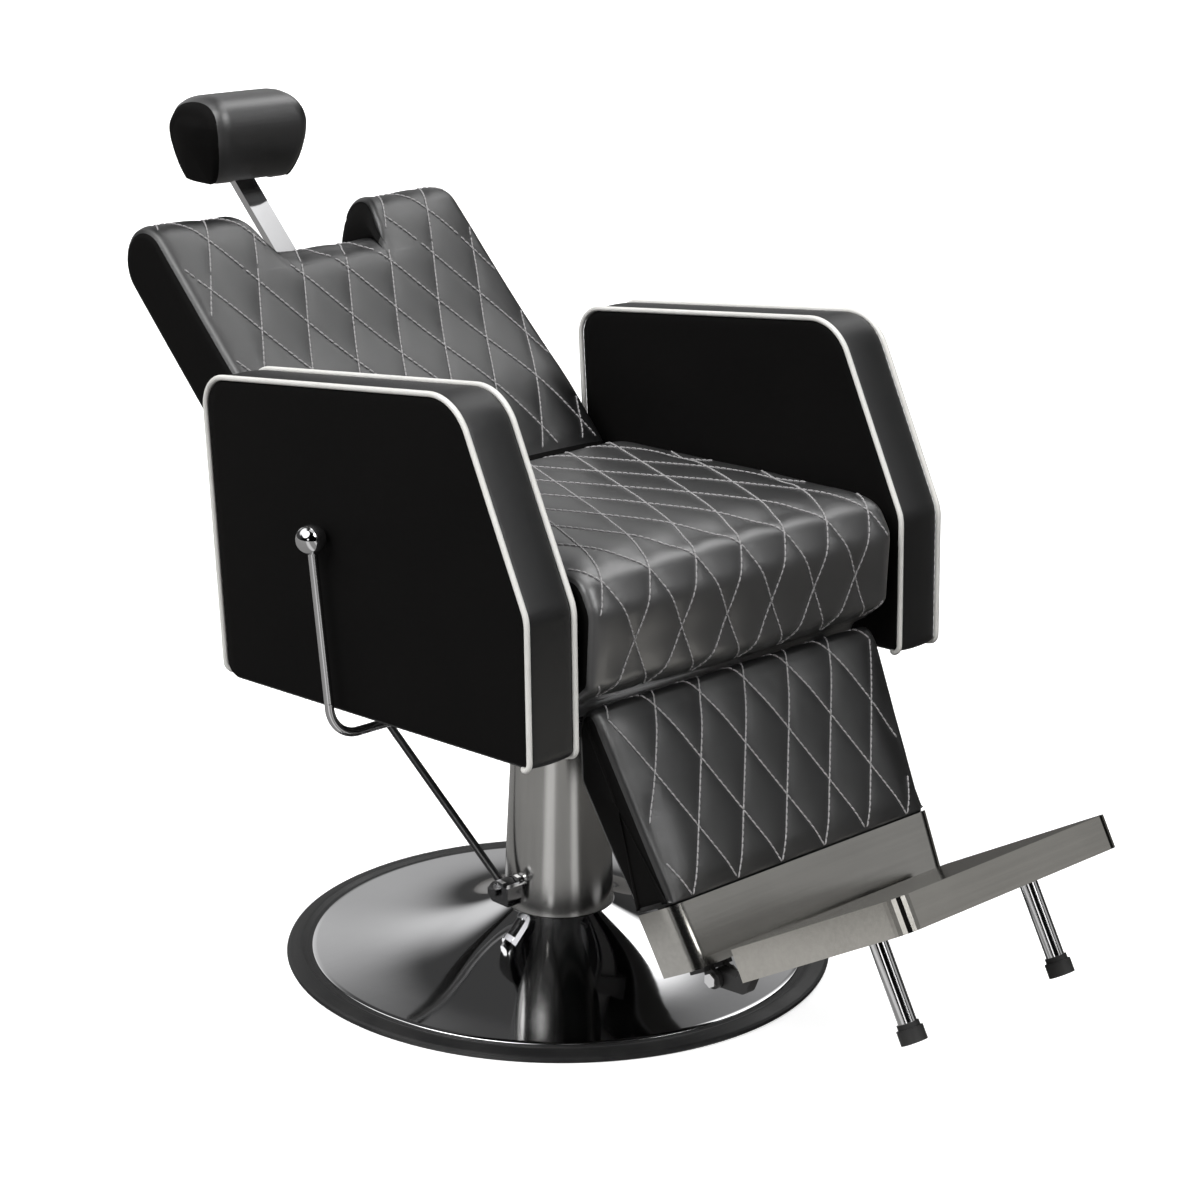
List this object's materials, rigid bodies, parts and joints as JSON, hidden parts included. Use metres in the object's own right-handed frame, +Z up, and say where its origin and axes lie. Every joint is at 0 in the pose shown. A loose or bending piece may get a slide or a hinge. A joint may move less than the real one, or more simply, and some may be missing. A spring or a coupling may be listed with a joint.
{
  "type": "barber chair",
  "caption": "Hydraulic barber chair with round base, lifting column, swivelling seat, linked reclining back and leg rest, head rest and folding foot platform.",
  "frame": {"origin": "centre of the round base's underside, at floor level on the column's axis", "axes": "+Z up along the column; the sitter faces -Y; +X is the sitter's left"},
  "size_m": [0.718, 1.3958, 1.0056],
  "materials": {
    "steel_black": "satin",
    "chrome": "polished",
    "brushed": "satin",
    "leather_black": "satin",
    "plywood": "matte",
    "rubber_black": "matte"
  },
  "bodies": {
    "base": {"base_plate": "steel_black", "rim_ring": "rubber_black", "base_cover": "chrome", "pump_body": "steel_black", "pump_bolts": "chrome", "gland_nut": "brushed", "ram_seal": "rubber_black", "column_sleeve": "brushed", "sleeve_collar": "steel_black", "lever_clevis": "steel_black", "lever_pin": "chrome"},
    "pump_lever": {"pump_lever": "steel_black", "foot_pad": "rubber_black"},
    "ram": {"lift_ram": "chrome", "ram_flange": "steel_black", "upper_sleeve": "brushed"},
    "seat": {"thrust_bearing": "brushed", "swivel_plate": "steel_black", "seat_frame": "steel_black", "seat_board": "plywood", "seat_cushion": "leather_black", "arm_board_right": "plywood", "arm_board_left": "plywood", "arm_right": "leather_black", "arm_left": "leather_black", "arm_brackets": "steel_black", "arm_bolts": "chrome", "hinge_plates": "steel_black", "recline_pins": "chrome", "leg_hinge_lugs": "steel_black", "leg_hinge_pins": "chrome", "lever_bearing": "steel_black", "lock_caliper": "brushed"},
    "hand_lever": {"hand_lever": "chrome", "lever_ball": "chrome", "lock_cam": "steel_black"},
    "link": {"link_bars": "steel_black"},
    "back": {"back_frame": "steel_black", "back_hinge_arms": "steel_black", "hinge_bolts": "chrome", "link_cranks": "steel_black", "back_cushion": "leather_black", "back_cover": "leather_black", "post_guide": "steel_black"},
    "post": {"headrest_post": "chrome"},
    "head": {"headrest_bracket": "steel_black", "headrest_pin": "chrome", "headrest_pad": "leather_black"},
    "leg": {"leg_board": "plywood", "leg_hinge_arms": "steel_black", "leg_horns": "steel_black", "leg_cushion": "leather_black", "leg_band": "brushed", "footrest_bracket": "steel_black", "footrest_pin": "chrome"},
    "foot": {"footrest_arms": "steel_black", "footrest_platform": "chrome", "footrest_legs": "chrome", "footrest_tips": "rubber_black"}
  },
  "joints": [
    {"name": "seat_lift", "type": "slide", "parent": "base", "child": "ram", "axis": [0, 0, 1], "range_m": [0, 0.15]},
    {"name": "seat_swivel", "type": "hinge", "parent": "ram", "child": "seat", "pos_m": [0, 0, 0.379], "axis": [0, 0, 1], "continuous": true},
    {"name": "recline", "type": "hinge", "parent": "seat", "child": "back", "pos_m": [0, 0.2084, 0.5456], "axis": [-1, 0, 0], "range_deg": [-22, 20]},
    {"name": "leg_rest", "type": "hinge", "parent": "seat", "child": "leg", "pos_m": [0, -0.297, 0.418], "axis": [-1, 0, 0], "range_deg": [-22, 20]},
    {"name": "link_pivot", "type": "hinge", "parent": "back", "child": "link", "pos_m": [0, 0.2484, 0.47632], "axis": [-1, 0, 0], "range_deg": [-20, 22]},
    {"name": "footrest_flip", "type": "hinge", "parent": "leg", "child": "foot", "pos_m": [0, -0.432, 0.15], "axis": [-1, 0, 0], "range_deg": [0, 36]},
    {"name": "headrest_slide", "type": "slide", "parent": "back", "child": "post", "axis": [0, 0.7193, 0.6947], "range_m": [-0.08, 0.03]},
    {"name": "headrest_tilt", "type": "hinge", "parent": "post", "child": "head", "pos_m": [0, 0.62617, 0.89899], "axis": [-1, 0, 0], "range_deg": [-24, 25]},
    {"name": "hand_lever", "type": "hinge", "parent": "seat", "child": "hand_lever", "pos_m": [0, 0.003, 0.361], "axis": [-1, 0, 0], "range_deg": [0, 16], "stiffness_Nm_per_rad": 3, "springref_deg": -17.19},
    {"name": "pump_lever", "type": "hinge", "parent": "base", "child": "pump_lever", "pos_m": [0, 0.008, 0.099], "axis": [-1, 0, 0], "range_deg": [0, 22], "stiffness_Nm_per_rad": 4, "springref_deg": -20.05}
  ],
  "couplings": [
    {"joint": "leg_rest", "follows": "recline", "ratio": 1},
    {"joint": "link_pivot", "follows": "recline", "ratio": -1}
  ]
}
